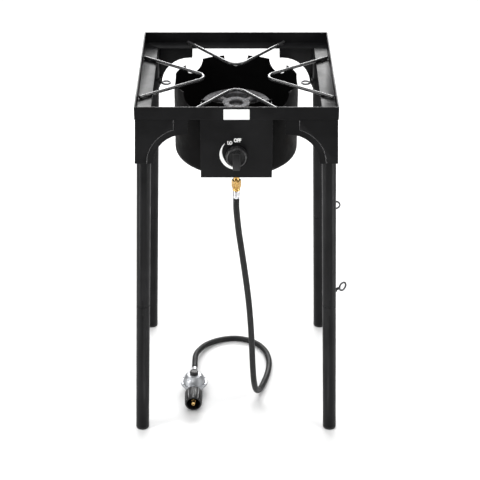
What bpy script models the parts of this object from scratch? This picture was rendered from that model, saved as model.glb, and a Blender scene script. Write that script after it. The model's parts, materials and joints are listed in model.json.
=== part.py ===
"""Propane burner stand: a square angle-iron frame on four splayed two-piece tube legs, with four wire
pot supports, a drum wind guard, a cast ring burner, a gas valve behind a control box, and a gas hose
that ends in a regulator and a cylinder nut.

Units are metres, +Z is up, the front is -Y, and the floor is z = 0.
"""
import math

import bmesh
import bpy
from mathutils import Matrix, Vector

# ---------------------------------------------------------------- driving dimensions
STAND_HEIGHT = 0.765
FRAME_HALF = 0.200
# The eye screws stand out on the right, so the frame's centre is left of the centre of the whole box.
FRAME_CENTRE_X = -0.012
GAP = 0.0003
MERGE = 0.00001

APRON_HEIGHT = 0.027
FLANGE_WIDTH = 0.030
ANGLE_THICKNESS = 0.0025

ROD_RADIUS = 0.0035
SUPPORT_HALF_SPREAD = 0.105
SUPPORT_APEX_RADIUS = 0.068
SUPPORT_BEND = 0.022

SPLAY = 0.0325
LEG_AXIS = 0.1818
TUBE_RADIUS = 0.0143
TUBE_WALL = 0.0012
NECK_RADIUS = 0.0128
SEAM_DEPTH = 0.455
NECK_TOP_DEPTH = 0.395
FOOT_HEIGHT = 0.005

SHEET = 0.0015
BRACKET_ARM = 0.103
BRACKET_ARM_HEIGHT = 0.032
BRACKET_ARCH = 0.060
BRACKET_INNER = 0.0198
BRACKET_DEPTH = 0.095
EMBOSS_STEP = 0.013
EMBOSS_START = 0.0745
EMBOSS_RISE = 0.0008
STRAP_HEIGHT = 0.020
STRAP_THICKNESS = 0.0018
SOCKET_SCREW_DEPTH = 0.113
LEG_SCREW_DEPTH = 0.426

EYE_RADIUS = 0.0090
EYE_WIRE = 0.0021
EYE_WIRE_SIDES = 6
SOCKET_SHANK = 0.0063
LEG_SHANK = 0.0168
SHANK_RADIUS = 0.0030
SHANK_CLEARANCE = 0.0003

GUARD_RADIUS = 0.129
GUARD_STRAIGHT_DEPTH = 0.175
GUARD_CORNER = 0.018
GUARD_NOTCH = 0.0255
GUARD_NOTCHES = 8
GUARD_AIR_HOLE = 0.045
PORT_TUBE_HOLE = 0.0135

BURNER_TOP_DEPTH = 0.078
BURNER_THICKNESS = 0.0127
BURNER_OUTER = (0.073, 0.052)
BURNER_INNER = (0.030, 0.014)

VALVE_DEPTH = 0.103
PANEL_FACE = 0.198
PANEL_WIDTH = 0.142
PANEL_HEIGHT = 0.127
INLET_BEHIND_PANEL = 0.018
GRIP_FRONT = 0.037
GRIP_HALF_WIDTH = 0.0078
GRIP_FRONT_HALF_WIDTH = 0.0070
GRIP_HALF_LENGTH = 0.0185
GRIP_SHOULDER = 0.0100
GRIP_TIP = 0.0205
KNOB_RADIUS = 0.0215
KNOB_GAP = 0.0035

HOSE_RADIUS = 0.0066

# ---------------------------------------------------------------- derived places
FLANGE_UNDERSIDE = STAND_HEIGHT - APRON_HEIGHT
FLANGE_TOP = FLANGE_UNDERSIDE + ANGLE_THICKNESS
ROD_HEIGHT = FLANGE_TOP + ROD_RADIUS + GAP
GUARD_RIM = ROD_HEIGHT - ROD_RADIUS - GAP
BURNER_TOP = STAND_HEIGHT - BURNER_TOP_DEPTH
BURNER_BOTTOM = BURNER_TOP - BURNER_THICKNESS
VALVE_HEIGHT = STAND_HEIGHT - VALVE_DEPTH
TUBE_CLEARANCE = 0.0004

# The corner a piece belongs to, and how far the rear right corner is turned about Z to reach it.
CORNERS = (("rear_right", 0), ("rear_left", 90), ("front_left", 180), ("front_right", 270))
# The way each eye screw points, in degrees from +X towards +Y.
SOCKET_SCREW_HEADING = {"rear_right": 180, "rear_left": 0, "front_left": 90, "front_right": 90}
LEG_SCREW_HEADING = {"rear_right": 0, "rear_left": 90, "front_left": 90, "front_right": 40}

# The hose leaves its top ferrule straight down, leans a little to the right as it drops, meets the floor
# in a wide bend and lies in an open hook under the stand.
HOSE_ROUTE = (
    (0.0000, -0.1800, 0.5555),
    (0.0003, -0.1800, 0.5280),
    (0.0050, -0.1797, 0.4780),
    (0.0125, -0.1790, 0.4220),
    (0.0205, -0.1772, 0.3600),
    (0.0270, -0.1742, 0.3000),
    (0.0315, -0.1700, 0.2400),
    (0.0345, -0.1640, 0.1800),
    (0.0370, -0.1540, 0.1200),
    (0.0405, -0.1370, 0.0680),
    (0.0465, -0.1110, 0.0300),
    (0.0555, -0.0790, 0.0110),
    (0.0660, -0.0430, 0.0070),
    (0.0755, -0.0010, 0.0070),
    (0.0780, 0.0420, 0.0070),
    (0.0680, 0.0850, 0.0070),
    (0.0420, 0.1190, 0.0070),
    (0.0030, 0.1340, 0.0070),
    (-0.0380, 0.1270, 0.0072),
    (-0.0710, 0.1020, 0.0095),
    (-0.0890, 0.0660, 0.0150),
    (-0.0945, 0.0380, 0.0196),
    (-0.0950, 0.0180, 0.0210),
    (-0.0950, -0.0120, 0.0210),
)
HOSE_STEP = 0.024

COLLECTION_NAME = "propane_burner_stand"


# ---------------------------------------------------------------- scene and materials
def clear_scene():
    for obj in list(bpy.data.objects):
        bpy.data.objects.remove(obj, do_unlink=True)


def make_collection(name):
    collection = bpy.data.collections.new(name)
    bpy.context.scene.collection.children.link(collection)
    return collection


def make_material(name, colour, roughness, metallic):
    material = bpy.data.materials.new(name)
    material.use_nodes = True
    shader = material.node_tree.nodes["Principled BSDF"]
    shader.inputs["Base Color"].default_value = (*colour, 1.0)
    shader.inputs["Roughness"].default_value = roughness
    shader.inputs["Metallic"].default_value = metallic
    return material


clear_scene()
PARTS = make_collection(COLLECTION_NAME)
CUTTERS = make_collection("cutters")

FRAME_PAINT = make_material("black_powder_coat", (0.020, 0.020, 0.021), 0.42, 0.0)
ROD_PAINT = make_material("black_rod_enamel", (0.030, 0.030, 0.032), 0.30, 0.0)
GUARD_PAINT = make_material("matt_black_enamel", (0.012, 0.012, 0.013), 0.60, 0.0)
CAST_IRON = make_material("cast_iron", (0.045, 0.045, 0.048), 0.75, 0.6)
BRASS = make_material("brass", (0.72, 0.50, 0.22), 0.28, 1.0)
STEEL = make_material("zinc_plated_steel", (0.62, 0.62, 0.64), 0.30, 1.0)
BLACK_PLASTIC = make_material("black_plastic", (0.016, 0.016, 0.017), 0.38, 0.0)
HOSE_RUBBER = make_material("black_rubber", (0.014, 0.014, 0.014), 0.55, 0.0)
DIE_CAST = make_material("die_cast_zinc", (0.42, 0.43, 0.45), 0.45, 0.9)


# ---------------------------------------------------------------- shape helpers
def add_object(name, data, collection=None):
    obj = bpy.data.objects.new(name, data)
    (collection or PARTS).objects.link(obj)
    return obj


def finish(obj, material, parent=None):
    """Give a part its material, its parent and smooth round faces with crisp edges."""
    obj.data.materials.clear()
    obj.data.materials.append(material)
    if obj.type == "MESH":
        obj.data.shade_smooth()
        obj.data.set_sharp_from_angle(angle=math.radians(32))
    if parent is not None:
        obj.parent = parent
    return obj


def empty(name, location, rotation=(0, 0, 0)):
    obj = add_object(name, None)
    obj.location = location
    obj.rotation_euler = rotation
    return obj


def mesh_from(name, build):
    mesh = bpy.data.meshes.new(name)
    work = bmesh.new()
    build(work)
    work.to_mesh(mesh)
    work.free()
    return mesh


def block(name, low, high, collection=None):
    """A box between two corners, with its scale in the mesh."""
    low, high = Vector(low), Vector(high)
    size = high - low

    def build(work):
        bmesh.ops.create_cube(work, size=1.0)
        bmesh.ops.scale(work, vec=size, verts=work.verts)
        bmesh.ops.translate(work, vec=(low + high) / 2, verts=work.verts)

    return add_object(name, mesh_from(name, build), collection)


def cylinder(name, radius, start, end, sides=24, collection=None):
    """A straight round bar from start to end."""
    start, end = Vector(start), Vector(end)
    along = end - start
    turn = along.to_track_quat("Z", "Y").to_matrix().to_4x4()
    place = Matrix.Translation((start + end) / 2) @ turn

    def build(work):
        bmesh.ops.create_cone(work, cap_ends=True, segments=sides, radius1=radius, radius2=radius,
                              depth=along.length, matrix=place)

    return add_object(name, mesh_from(name, build), collection)


def turned(name, profile, sides=24, collection=None):
    """A shape turned about Z. The profile is (radius, height) pairs that run down the outer side; it closes
    on itself, unless it starts and ends on the axis."""
    on_axis = profile[0][0] == 0 and profile[-1][0] == 0
    mesh = bpy.data.meshes.new(name)
    points = [(radius, 0, height) for radius, height in profile]
    edges = [(i, i + 1) for i in range(len(points) - 1)]
    if not on_axis:
        edges.append((len(points) - 1, 0))
    mesh.from_pydata(points, edges, [])
    obj = add_object(name, mesh, collection)
    screw = obj.modifiers.new("turn", "SCREW")
    screw.angle = math.tau
    screw.steps = sides
    screw.render_steps = sides
    screw.use_merge_vertices = True
    screw.merge_threshold = MERGE
    return obj


def plate(name, points, thickness, collection=None):
    """A flat outline in X and Y, with half its thickness each side of z = 0."""
    curve = bpy.data.curves.new(name, "CURVE")
    curve.dimensions = "2D"
    curve.fill_mode = "BOTH"
    curve.extrude = thickness / 2
    spline = curve.splines.new("POLY")
    spline.points.add(len(points) - 1)
    for point, (x, y) in zip(spline.points, points):
        point.co = (x, y, 0, 1)
    spline.use_cyclic_u = True
    return add_object(name, curve, collection)


def hull(name, corners):
    """The smallest flat-faced solid round a set of corners."""
    def build(work):
        for corner in corners:
            work.verts.new(corner)
        bmesh.ops.convex_hull(work, input=work.verts)

    return add_object(name, mesh_from(name, build))


def rod(name, points, radius, resolution=2):
    """A round wire or tube through the points, with closed ends."""
    curve = bpy.data.curves.new(name, "CURVE")
    curve.dimensions = "3D"
    curve.bevel_depth = radius
    curve.bevel_resolution = resolution
    curve.use_fill_caps = True
    spline = curve.splines.new("POLY")
    spline.points.add(len(points) - 1)
    for point, place in zip(spline.points, points):
        point.co = (*place, 1)
    return add_object(name, curve)


def arc(centre, radius, start, end, steps):
    """Points along an arc in a plane, from one angle to another in degrees."""
    for i in range(steps + 1):
        angle = math.radians(start + (end - start) * i / steps)
        yield (centre[0] + radius * math.cos(angle), centre[1] + radius * math.sin(angle))


def baked(obj):
    """Turn an object with its modifiers, or a curve, into a plain closed mesh in world place."""
    bpy.context.view_layer.update()
    depsgraph = bpy.context.evaluated_depsgraph_get()
    mesh = bpy.data.meshes.new_from_object(obj.evaluated_get(depsgraph))
    mesh.transform(obj.matrix_world)
    work = bmesh.new()
    work.from_mesh(mesh)
    bmesh.ops.remove_doubles(work, verts=work.verts, dist=MERGE)
    bmesh.ops.recalc_face_normals(work, faces=work.faces)
    work.to_mesh(mesh)
    work.free()
    name = obj.name
    collection = obj.users_collection[0]
    bpy.data.objects.remove(obj, do_unlink=True)
    mesh.name = name
    return add_object(name, mesh, collection)


def combine(obj, tool, operation):
    """Cut obj with tool, or join tool to it, and keep the tool among the cutters."""
    if tool.name in PARTS.objects:
        PARTS.objects.unlink(tool)
        CUTTERS.objects.link(tool)
    tool.hide_render = True
    tool.display_type = "WIRE"
    modifier = obj.modifiers.new(tool.name, "BOOLEAN")
    modifier.operation = operation
    modifier.solver = "EXACT"
    modifier.object = tool
    tool.parent = obj.parent
    return obj


def cut(obj, tool):
    return combine(obj, tool, "DIFFERENCE")


def join(obj, tool):
    return combine(obj, tool, "UNION")


def drop_tools(obj):
    """Remove the cutters that a baked object no longer needs."""
    tools = [m.object for m in obj.modifiers if m.type == "BOOLEAN"]
    obj = baked(obj)
    for tool in tools:
        bpy.data.objects.remove(tool, do_unlink=True)
    return obj


def shared_copy(name, master):
    return add_object(name, master.data)


# ---------------------------------------------------------------- frame
def make_rails():
    """Four lengths of steel angle, mitred at the corners, with the flange turned in at the bottom."""
    outer, inner = -FRAME_HALF, -FRAME_HALF + FLANGE_WIDTH
    wall = -FRAME_HALF + ANGLE_THICKNESS
    section = ((outer, FLANGE_UNDERSIDE), (inner, FLANGE_UNDERSIDE), (inner, FLANGE_TOP),
               (wall, FLANGE_TOP), (wall, STAND_HEIGHT), (outer, STAND_HEIGHT))
    rail = plate("front_rail", section, 2 * FRAME_HALF + 0.01)
    rail.rotation_euler = (math.pi / 2, 0, math.pi / 2)
    rail = baked(rail)
    work = bmesh.new()
    work.from_mesh(rail.data)
    for side in (1, -1):
        everything = work.verts[:] + work.edges[:] + work.faces[:]
        sliced = bmesh.ops.bisect_plane(work, geom=everything, dist=MERGE, plane_co=(0, -GAP, 0),
                                        plane_no=(side, 1, 0), clear_outer=True)
        rim = [e for e in sliced["geom_cut"] if isinstance(e, bmesh.types.BMEdge)]
        bmesh.ops.contextual_create(work, geom=rim)
    bmesh.ops.recalc_face_normals(work, faces=work.faces)
    work.to_mesh(rail.data)
    work.free()
    finish(rail, FRAME_PAINT)
    for name, turn in (("right_rail", 90), ("back_rail", 180), ("left_rail", 270)):
        copy = shared_copy(name, rail)
        copy.rotation_euler.z = math.radians(turn)


def make_pot_supports():
    """Four V-shaped wires whose ends stand on the flange and whose bends point to the burner."""
    wall_end = FRAME_HALF - 0.0052
    bend_centre = SUPPORT_APEX_RADIUS + SUPPORT_BEND
    reach = wall_end - bend_centre
    slope = math.acos(SUPPORT_BEND / math.hypot(reach, SUPPORT_HALF_SPREAD))
    slope -= math.atan2(reach, SUPPORT_HALF_SPREAD)
    bend = list(arc((-bend_centre, 0), SUPPORT_BEND, -90 + math.degrees(slope),
                    90 - math.degrees(slope), 8))
    path = [(-wall_end, -SUPPORT_HALF_SPREAD)] + bend + [(-wall_end, SUPPORT_HALF_SPREAD)]
    wire = rod("pot_support_left", [(x, y, 0) for x, y in path], ROD_RADIUS)
    wire.location.z = ROD_HEIGHT
    finish(wire, ROD_PAINT)
    for name, turn in (("pot_support_front", 90), ("pot_support_right", 180), ("pot_support_back", 270)):
        copy = shared_copy(name, wire)
        copy.location.z = ROD_HEIGHT
        copy.rotation_euler.z = math.radians(turn)


# ---------------------------------------------------------------- legs
# A corner's own frame has its origin on the leg's axis at the underside of the flange, with +X and +Y
# towards the outer faces, so height is the distance below the flange as a negative number.
OUTER_FACE = TUBE_RADIUS + TUBE_CLEARANCE + SHEET
INNER_FACE = TUBE_RADIUS + TUBE_CLEARANCE
ARCH_CENTRE = (-BRACKET_INNER - BRACKET_ARCH, -BRACKET_ARM_HEIGHT - BRACKET_ARCH)


def below_flange(depth_below_top):
    return APRON_HEIGHT - depth_below_top


def splayed(obj):
    """Lean a corner's piece outwards on both sides, with every level cut still level."""
    lean = Matrix.Identity(4)
    lean[0][2] = -SPLAY
    lean[1][2] = -SPLAY
    obj = drop_tools(obj)
    obj.data.transform(lean)
    return obj


def to_corners(master, stem, material, corners):
    """Put a copy of the master at each corner, and remove the master."""
    for name, _ in CORNERS:
        finish(shared_copy(f"{stem}_{name}", master), material, corners[name])
    bpy.data.objects.remove(master, do_unlink=True)


def bracket_arm(name):
    """One arm of a corner bracket: it runs under the flange, and its lower edge sweeps down to the leg."""
    far = OUTER_FACE - BRACKET_ARM
    outline = [(OUTER_FACE, 0), (far, 0), (far, -BRACKET_ARM_HEIGHT)]
    outline += list(arc(ARCH_CENTRE, BRACKET_ARCH, 90, 0, 8))
    outline += [(-BRACKET_INNER, -BRACKET_DEPTH), (OUTER_FACE, -BRACKET_DEPTH)]
    arm = plate(name, outline, SHEET)
    arm.rotation_euler.x = math.pi / 2
    arm.location.y = OUTER_FACE - SHEET / 2
    return baked(arm)


def bracket_panel(name):
    """The pressed-out panel of a bracket arm, set back from the arch and a hair inside its other edges."""
    margin = 0.0005
    corner = OUTER_FACE + EMBOSS_RISE
    reach = BRACKET_ARCH + EMBOSS_STEP
    start = OUTER_FACE - EMBOSS_START
    angle = math.degrees(math.acos((start - ARCH_CENTRE[0]) / reach))
    outline = [(corner, -margin), (start, -margin)]
    outline += list(arc(ARCH_CENTRE, reach, angle, 6, 8))
    outline += [(ARCH_CENTRE[0] + reach, -BRACKET_DEPTH + margin), (corner, -BRACKET_DEPTH + margin)]
    thickness = EMBOSS_RISE + SHEET / 2
    panel = plate(name, outline, thickness)
    panel.rotation_euler.x = math.pi / 2
    panel.location.y = corner - thickness / 2
    return baked(panel)


def mirrored_arm(arm, name):
    """The other arm of a bracket: the same shape, reflected in the corner's diagonal."""
    other = add_object(name, arm.data.copy())
    other.data.transform(Matrix(((0, 1, 0, 0), (1, 0, 0, 0), (0, 0, 1, 0), (0, 0, 0, 1))))
    other.data.flip_normals()
    return other


def make_brackets(corners):
    bracket = bracket_arm("bracket")
    panel = bracket_panel("bracket_panel")
    join(bracket, mirrored_arm(bracket, "bracket_side"))
    join(bracket, panel)
    join(bracket, mirrored_arm(panel, "bracket_panel_side"))
    bracket = splayed(bracket)
    bracket.location.z = -GAP
    bracket = baked(bracket)
    to_corners(bracket, "leg_bracket", FRAME_PAINT, corners)


def heading_in_corner(heading, turn):
    """A world heading in degrees as a direction in the frame of a corner that is turned about Z."""
    angle = math.radians(heading - turn)
    return Vector((math.cos(angle), math.sin(angle), 0))


def make_straps(corners):
    """A collar band around each leg's inner side, with the threaded boss of its eye screw."""
    near = TUBE_RADIUS + TUBE_CLEARANCE
    far = near + STRAP_THICKNESS
    end = INNER_FACE - GAP
    outline = [(end, -far)] + list(arc((0, 0), far, 270, 180, 6)) + [(-far, end), (-near, end)]
    outline += list(arc((0, 0), near, 180, 270, 6)) + [(end, -near)]
    bottom = -BRACKET_DEPTH
    screw_height = below_flange(SOCKET_SCREW_DEPTH)
    for name, turn in CORNERS:
        strap = plate(f"leg_socket_strap_{name}", outline, STRAP_HEIGHT)
        strap.location.z = bottom + STRAP_HEIGHT / 2
        strap = baked(strap)
        way = heading_in_corner(SOCKET_SCREW_HEADING[name], turn)
        level = Vector((0, 0, screw_height))
        join(strap, cylinder(f"socket_boss_{name}", 0.0056, level + way * (near + 0.0008),
                             level + way * (far + 0.0019), 6))
        cut(strap, cylinder(f"socket_thread_{name}", SHANK_RADIUS + SHANK_CLEARANCE,
                            level + way * (near - 0.003), level + way * (far + 0.006), 8))
        strap = splayed(strap)
        finish(strap, FRAME_PAINT, corners[name])


def make_upper_legs(corners):
    """Upper tubes from the flange down to the seam, each with the threaded boss of its eye screw."""
    top = below_flange(APRON_HEIGHT + 0.0006)
    bottom = below_flange(SEAM_DEPTH)
    wall = TUBE_RADIUS - TUBE_WALL
    screw_height = below_flange(LEG_SCREW_DEPTH)
    for name, turn in CORNERS:
        tube = turned(f"upper_leg_{name}", [(TUBE_RADIUS, top), (TUBE_RADIUS, bottom), (wall, bottom),
                                            (wall, top)], 18)
        way = heading_in_corner(LEG_SCREW_HEADING[name], turn)
        level = Vector((0, 0, screw_height))
        join(tube, cylinder(f"leg_boss_{name}", 0.0056, level + way * (wall + 0.0005),
                            level + way * (TUBE_RADIUS + 0.0042), 6))
        cut(tube, cylinder(f"leg_thread_{name}", SHANK_RADIUS + SHANK_CLEARANCE,
                           level + way * (wall - 0.002), level + way * (TUBE_RADIUS + 0.008), 8))
        tube = splayed(tube)
        finish(tube, FRAME_PAINT, corners[name])


def make_lower_legs(corners):
    """Lower tubes, each swaged down at the top to slip inside the upper tube."""
    floor = below_flange(STAND_HEIGHT)
    seam = below_flange(SEAM_DEPTH) - GAP
    neck_top = below_flange(NECK_TOP_DEPTH)
    bottom = floor + FOOT_HEIGHT + GAP
    inner, neck_inner = TUBE_RADIUS - TUBE_WALL, NECK_RADIUS - TUBE_WALL
    swage = 0.004
    profile = [(NECK_RADIUS, neck_top), (NECK_RADIUS, seam), (TUBE_RADIUS, seam), (TUBE_RADIUS, bottom),
               (inner, bottom), (inner, seam - swage), (neck_inner, seam), (neck_inner, neck_top)]
    to_corners(splayed(turned("lower_leg", profile, 16)), "lower_leg", FRAME_PAINT, corners)

    plug = inner - GAP
    rest = floor + FOOT_HEIGHT
    profile = [(0, rest + 0.014), (plug - 0.002, rest + 0.014), (plug, rest + 0.011), (plug, rest),
               (TUBE_RADIUS, rest), (TUBE_RADIUS, floor + 0.002), (TUBE_RADIUS - 0.002, floor), (0, floor)]
    to_corners(splayed(turned("foot_cap", profile, 16)), "foot_cap", BLACK_PLASTIC, corners)


def eye_screw(name, turn, depth, heading, start, shank, ring_roll):
    """A ring-headed screw. Its origin is on its own axis at its tip, and it points along local +X."""
    ring = [(EYE_RADIUS + EYE_WIRE * math.cos(angle), -EYE_WIRE * math.sin(angle))
            for angle in (math.tau * i / EYE_WIRE_SIDES for i in range(EYE_WIRE_SIDES))]
    screw = turned(name, ring, 14)
    screw.location.x = shank + EYE_RADIUS
    join(screw, cylinder(f"{name}_shank", SHANK_RADIUS, (0, 0, 0), (shank + 0.0006, 0, 0), 8))
    screw = drop_tools(screw)
    screw.data.transform(Matrix.Rotation(math.radians(ring_roll), 4, "X"))
    lean = LEG_AXIS + SPLAY * (depth - APRON_HEIGHT)
    axis = Matrix.Rotation(math.radians(turn), 4, "Z") @ Vector((lean, lean, STAND_HEIGHT - depth))
    way = Vector((math.cos(math.radians(heading)), math.sin(math.radians(heading)), 0))
    screw.location = axis + way * start
    screw.rotation_euler.z = math.radians(heading)
    finish(screw, ROD_PAINT)


def make_eye_screws():
    for name, turn in CORNERS:
        eye_screw(f"socket_eye_screw_{name}", turn, SOCKET_SCREW_DEPTH, SOCKET_SCREW_HEADING[name],
                  TUBE_RADIUS + GAP, SOCKET_SHANK, 0)
        eye_screw(f"leg_eye_screw_{name}", turn, LEG_SCREW_DEPTH, LEG_SCREW_HEADING[name],
                  NECK_RADIUS + GAP, LEG_SHANK, 90)


# ---------------------------------------------------------------- wind guard and burner
def make_wind_guard():
    """A deep round drum with a rounded bottom edge, an air hole below, and a crown of notches at the rim."""
    straight_end = STAND_HEIGHT - GUARD_STRAIGHT_DEPTH
    corner = (GUARD_RADIUS - GUARD_CORNER, straight_end)
    profile = [(GUARD_RADIUS, GUARD_RIM)]
    profile += list(arc(corner, GUARD_CORNER, 0, -90, 4))
    profile.append((GUARD_AIR_HOLE, straight_end - GUARD_CORNER))
    wall = GUARD_RADIUS - SHEET
    inner_corner = GUARD_CORNER - SHEET
    profile.append((GUARD_AIR_HOLE, straight_end - inner_corner))
    profile += list(arc(corner, inner_corner, -90, 0, 4))
    profile.append((wall, GUARD_RIM))
    guard = turned("wind_guard", profile, 48)
    reach = GUARD_RADIUS + 0.01
    for i in range(GUARD_NOTCHES // 2):
        angle = math.tau * i / GUARD_NOTCHES
        way = Vector((math.cos(angle), math.sin(angle), 0)) * reach
        level = Vector((0, 0, GUARD_RIM))
        cut(guard, cylinder(f"rim_notch_{i}", GUARD_NOTCH, level - way, level + way, 24, CUTTERS))
    cut(guard, cylinder("mixing_tube_hole", PORT_TUBE_HOLE, (0, -reach, VALVE_HEIGHT),
                        (0, -GUARD_RADIUS + 0.02, VALVE_HEIGHT), 16, CUTTERS))
    finish(guard, GUARD_PAINT)


def make_burner():
    """A cast ring burner: an outer and an inner ring joined by four spokes over a closed hub."""
    def ring(name, outer, inner, chamfer):
        return turned(name, [(outer - chamfer, BURNER_TOP), (outer, BURNER_TOP - chamfer),
                             (outer, BURNER_BOTTOM), (inner, BURNER_BOTTOM), (inner, BURNER_TOP - chamfer),
                             (inner + chamfer, BURNER_TOP)], 36)

    head = ring("burner_head", *BURNER_OUTER, 0.002)
    for i in range(4):
        spoke = block(f"burner_spoke_{i}", (BURNER_INNER[0] - 0.003, -0.007, BURNER_BOTTOM + 0.0005),
                      (BURNER_OUTER[1] + 0.004, 0.007, BURNER_TOP - 0.003))
        spoke.rotation_euler.z = math.radians(45 + 90 * i)
        join(head, spoke)
    join(head, ring("burner_inner_ring", *BURNER_INNER, 0.0015))
    join(head, cylinder("burner_hub", 0.020, (0, 0, BURNER_BOTTOM + 0.0003), (0, 0, BURNER_BOTTOM + 0.005), 24))
    finish(head, CAST_IRON)

    hub_top = BURNER_BOTTOM - GAP
    hub_bottom = VALVE_HEIGHT - 0.018
    bore = 0.0090
    tube = turned("mixing_tube", [(0, -0.0052), (bore, -0.0052), (bore, 0.150), (0.0155, 0.150),
                                  (0.0155, 0.139), (0.0115, 0.126), (0.0115, -0.010), (0, -0.010)], 20)
    tube.rotation_euler.x = math.pi / 2
    tube.location.z = VALVE_HEIGHT
    tube = baked(tube)
    join(tube, cylinder("mixing_hub", 0.0150, (0, 0, hub_bottom), (0, 0, hub_top), 22))
    cut(tube, cylinder("hub_passage", bore - 0.0004, (0, -0.030, VALVE_HEIGHT), (0, 0.0045, VALVE_HEIGHT), 14))
    cut(tube, cylinder("hub_bore", 0.0078, (0, 0, VALVE_HEIGHT - 0.004), (0, 0, hub_top + 0.01), 12))
    cut(tube, cylinder("bolt_thread", 0.0043, (0, 0, hub_bottom - 0.01), (0, 0, hub_bottom + 0.006), 10))
    finish(tube, CAST_IRON)

    bar_top = hub_bottom - GAP
    bar_half = 0.0125
    reach = 0.1262
    thick = 0.003
    section = ((-reach, bar_top - thick), (reach, bar_top - thick), (reach, bar_top + 0.014),
               (reach - thick, bar_top + 0.014), (reach - thick, bar_top), (-reach + thick, bar_top),
               (-reach + thick, bar_top + 0.014), (-reach, bar_top + 0.014))
    bar = plate("burner_support_bar", section, 2 * bar_half)
    bar.rotation_euler.x = math.pi / 2
    bar = baked(bar)
    cut(bar, cylinder("bar_hole", 0.0045, (0, 0, bar_top - 0.01), (0, 0, bar_top + 0.01), 10))
    finish(bar, FRAME_PAINT)

    head_top = bar_top - thick - GAP
    bolt = cylinder("burner_bolt", 0.0075, (0, 0, head_top - 0.0055), (0, 0, head_top), 6)
    join(bolt, cylinder("burner_bolt_shank", 0.0040, (0, 0, head_top - 0.002),
                        (0, 0, hub_bottom + 0.0055), 10))
    finish(bolt, STEEL)


# ---------------------------------------------------------------- control box, valve and knob
# The valve's own frame has its origin on the knob's axis at the face of the panel, with local +Z to the
# front and local +Y up, so what is behind the panel has a negative local Z.
def make_control_box():
    half = PANEL_WIDTH / 2
    top = FLANGE_UNDERSIDE - GAP
    bottom = top - PANEL_HEIGHT
    side_end = -0.1096
    section = ((-half, -PANEL_FACE), (half, -PANEL_FACE), (half, side_end), (half - SHEET, side_end),
               (half - SHEET, -PANEL_FACE + SHEET), (-half + SHEET, -PANEL_FACE + SHEET),
               (-half + SHEET, side_end), (-half, side_end))
    box = plate("control_box", section, PANEL_HEIGHT)
    box.location.z = (top + bottom) / 2
    box = baked(box)
    cut(box, cylinder("stem_hole", 0.0072, (0, -PANEL_FACE - 0.01, VALVE_HEIGHT),
                      (0, -PANEL_FACE + 0.01, VALVE_HEIGHT), 16))
    finish(box, FRAME_PAINT)


def make_valve(axis):
    front = -SHEET - GAP
    back = -0.030
    cavity_end = -0.0275
    body = turned("valve_body", [(0, front), (0.0115, front), (0.0115, front - 0.005), (0.0090, front - 0.006),
                                 (0.0090, back), (0.0055, back - 0.002), (0.0055, back - 0.009),
                                 (0, back - 0.009)], 20)
    body.parent = axis
    join(body, cylinder("valve_inlet_boss", 0.0080, (0, 0, -INLET_BEHIND_PANEL),
                        (0, -0.040, -INLET_BEHIND_PANEL), 16))
    cut(body, cylinder("valve_cavity", 0.0060, (0, 0, 0.01), (0, 0, cavity_end), 16))
    cut(body, cylinder("gas_outlet", 0.0022, (0, 0, cavity_end + 0.002), (0, 0, back - 0.02), 8))
    cut(body, cylinder("gas_inlet", 0.0035, (0, -0.003, -INLET_BEHIND_PANEL),
                       (0, -0.05, -INLET_BEHIND_PANEL), 8))
    finish(body, BRASS, axis)

    def washer(name, outer, inner, high, low, material):
        disc = turned(name, [(outer, high), (outer, low), (inner, low), (inner, high)], 16)
        return finish(disc, material, axis)

    bonnet_low = front - 0.0060
    washer("valve_bonnet", 0.0057, 0.0034, front - 0.0004, bonnet_low, BRASS)
    washer_high = bonnet_low - GAP
    washer_low = washer_high - 0.0015
    washer("stem_thrust_washer", 0.0055, 0.0033, washer_high, washer_low, STEEL)

    spring_top = washer_low - 0.0008
    spring_bottom = cavity_end + 0.0010
    turns, per_turn = 4, 8
    coil = []
    for i in range(turns * per_turn + 1):
        angle = math.tau * i / per_turn
        height = spring_bottom + (spring_top - spring_bottom) * i / (turns * per_turn)
        coil.append((0.0045 * math.cos(angle), 0.0045 * math.sin(angle), height))
    finish(rod("stem_spring", coil, 0.0004, 1), STEEL, axis)

    stem = cylinder("valve_stem", 0.0030, (0, 0, cavity_end + 0.0060), (0, 0, KNOB_GAP + 0.012), 12)
    finish(stem, BRASS, axis)

    jet_front = back - 0.009 - GAP
    jet = turned("gas_jet", [(0, jet_front), (0.0045, jet_front), (0.0045, jet_front - 0.005),
                             (0.0020, jet_front - 0.008), (0, jet_front - 0.008)], 6)
    finish(jet, BRASS, axis)


def make_air_shutter(axis):
    """A cap that turns on the bell of the mixing tube, with windows that open its air inlet."""
    bell_face = -PANEL_FACE + 0.150
    front = bell_face + GAP + 0.0015
    outer, inner = 0.0175, 0.0159
    shutter = turned("air_shutter", [(0.0065, front), (outer, front), (outer, front - 0.0115),
                                     (inner, front - 0.0115), (inner, front - 0.0015),
                                     (0.0065, front - 0.0015)], 20)
    shutter.parent = axis
    for i in range(2):
        angle = math.pi * i
        way = Vector((math.cos(angle), math.sin(angle), 0))
        middle = way * 0.0112 + Vector((0, 0, front - 0.0007))
        lift = Vector((0, 0, 0.004))
        cut(shutter, cylinder(f"shutter_window_{i}", 0.0035, middle - lift, middle + lift, 10))
    finish(shutter, STEEL, axis)


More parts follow.
